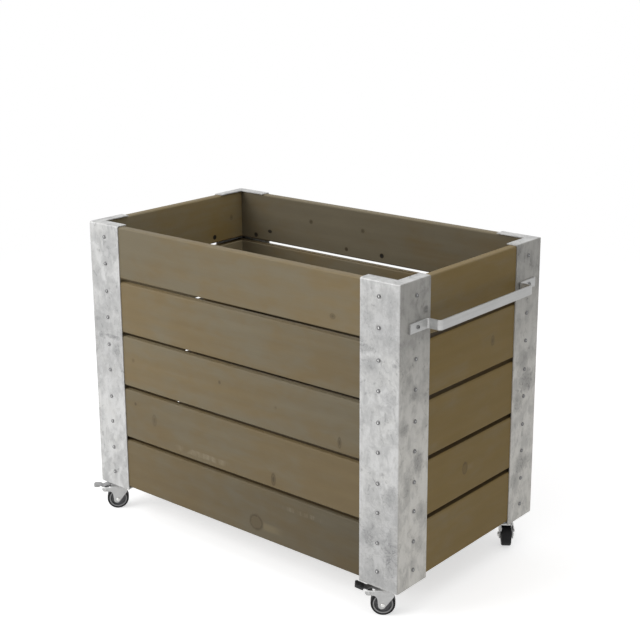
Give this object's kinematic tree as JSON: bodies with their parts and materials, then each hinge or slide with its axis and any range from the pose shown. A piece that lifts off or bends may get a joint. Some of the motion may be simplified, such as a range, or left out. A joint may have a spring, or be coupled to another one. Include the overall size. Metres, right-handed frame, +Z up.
{
  "type": "rolling planter",
  "caption": "Rectangular timber planter box with spaced boards on folded steel corner posts, swivel casters with foot brakes at the front and a flat-bar pull handle on one end.",
  "frame": {"origin": "middle of the overall footprint on the ground, with the pull handle and the brake pedals included", "axes": "+Z up, +X along the long side towards the end with the pull handle, -Y towards the front with the braked casters"},
  "size_m": [0.9202, 0.5209, 0.6955],
  "materials": {
    "weathered_pine": "planed, pressure treated, weathered olive grey",
    "floor_pine": "sawn, pressure treated",
    "galvanised_steel": "hot-dip galvanised, mottled",
    "zinc_fork": "bright zinc plated",
    "zinc_fastener": "bright zinc plated",
    "screw_steel": "zinc plated, dulled",
    "handle_steel": "galvanised, worn bright at the bends",
    "pedal_steel": "dark zinc",
    "wheel_hub": "moulded grey plastic",
    "tyre": "black rubber",
    "pedal_sleeve": "moulded black plastic"
  },
  "bodies": {
    "root": {"front_board_1": "weathered_pine", "front_board_2": "weathered_pine", "front_board_3": "weathered_pine", "front_board_4": "weathered_pine", "front_board_5": "weathered_pine", "back_board_1": "weathered_pine", "back_board_2": "weathered_pine", "back_board_3": "weathered_pine", "back_board_4": "weathered_pine", "back_board_5": "weathered_pine", "left_board_1": "weathered_pine", "left_board_2": "weathered_pine", "left_board_3": "weathered_pine", "left_board_4": "weathered_pine", "left_board_5": "weathered_pine", "right_board_1": "weathered_pine", "right_board_2": "weathered_pine", "right_board_3": "weathered_pine", "right_board_4": "weathered_pine", "right_board_5": "weathered_pine", "front_left_post": "galvanised_steel", "front_right_post": "galvanised_steel", "back_left_post": "galvanised_steel", "back_right_post": "galvanised_steel", "front_screws": "screw_steel", "back_screws": "screw_steel", "left_screws": "screw_steel", "right_screws": "screw_steel", "handle_screws": "screw_steel", "bearer_screws": "screw_steel", "handle": "handle_steel", "front_bearer": "floor_pine", "back_bearer": "floor_pine", "floor_board_1": "floor_pine", "floor_board_2": "floor_pine", "floor_board_3": "floor_pine", "floor_board_4": "floor_pine", "floor_board_5": "floor_pine", "floor_board_6": "floor_pine", "king_pins": "zinc_fastener", "swivel_heads": "zinc_fork"},
    "front_left_swivel": {"front_left_fork": "zinc_fork", "front_left_axle": "zinc_fastener"},
    "front_left_wheel": {"front_left_hub": "wheel_hub", "front_left_tyre": "tyre"},
    "front_right_swivel": {"front_right_fork": "zinc_fork", "front_right_axle": "zinc_fastener"},
    "front_right_wheel": {"front_right_hub": "wheel_hub", "front_right_tyre": "tyre"},
    "back_left_swivel": {"back_left_fork": "zinc_fork", "back_left_axle": "zinc_fastener"},
    "back_left_wheel": {"back_left_hub": "wheel_hub", "back_left_tyre": "tyre"},
    "back_right_swivel": {"back_right_fork": "zinc_fork", "back_right_axle": "zinc_fastener"},
    "back_right_wheel": {"back_right_hub": "wheel_hub", "back_right_tyre": "tyre"},
    "front_left_brake": {"front_left_pedal": "pedal_steel"},
    "front_right_brake": {"front_right_pedal": "pedal_steel", "pedal_sleeve": "pedal_sleeve"}
  },
  "joints": [
    {"name": "front_left_swivel_turn", "type": "hinge", "parent": "root", "child": "front_left_swivel", "pos_m": [-0.403, -0.1985, 0.07], "axis": [0, 0, 1], "continuous": true},
    {"name": "front_left_wheel_spin", "type": "hinge", "parent": "front_left_swivel", "child": "front_left_wheel", "pos_m": [-0.41638, -0.21336, 0.025], "axis": [0.7431, -0.6691, 0], "continuous": true},
    {"name": "front_right_swivel_turn", "type": "hinge", "parent": "root", "child": "front_right_swivel", "pos_m": [0.387, -0.1985, 0.07], "axis": [0, 0, 1], "continuous": true},
    {"name": "front_right_wheel_spin", "type": "hinge", "parent": "front_right_swivel", "child": "front_right_wheel", "pos_m": [0.37103, -0.21054, 0.025], "axis": [0.6018, -0.7986, 0], "continuous": true},
    {"name": "back_left_swivel_turn", "type": "hinge", "parent": "root", "child": "back_left_swivel", "pos_m": [-0.403, 0.2175, 0.07], "axis": [0, 0, 1], "continuous": true},
    {"name": "back_left_wheel_spin", "type": "hinge", "parent": "back_left_swivel", "child": "back_left_wheel", "pos_m": [-0.42032, 0.2275, 0.025], "axis": [-0.5, -0.866, 0], "continuous": true},
    {"name": "back_right_swivel_turn", "type": "hinge", "parent": "root", "child": "back_right_swivel", "pos_m": [0.387, 0.2175, 0.07], "axis": [0, 0, 1], "continuous": true},
    {"name": "back_right_wheel_spin", "type": "hinge", "parent": "back_right_swivel", "child": "back_right_wheel", "pos_m": [0.39904, 0.20153, 0.025], "axis": [0.7986, 0.6018, 0], "continuous": true},
    {"name": "front_left_brake_press", "type": "hinge", "parent": "front_left_swivel", "child": "front_left_brake", "pos_m": [-0.43445, -0.23343, 0.05], "axis": [0.7431, -0.6691, 0], "range_deg": [0, 12]},
    {"name": "front_right_brake_press", "type": "hinge", "parent": "front_right_swivel", "child": "front_right_brake", "pos_m": [0.34946, -0.22678, 0.05], "axis": [0.6018, -0.7986, 0], "range_deg": [0, 12]}
  ]
}
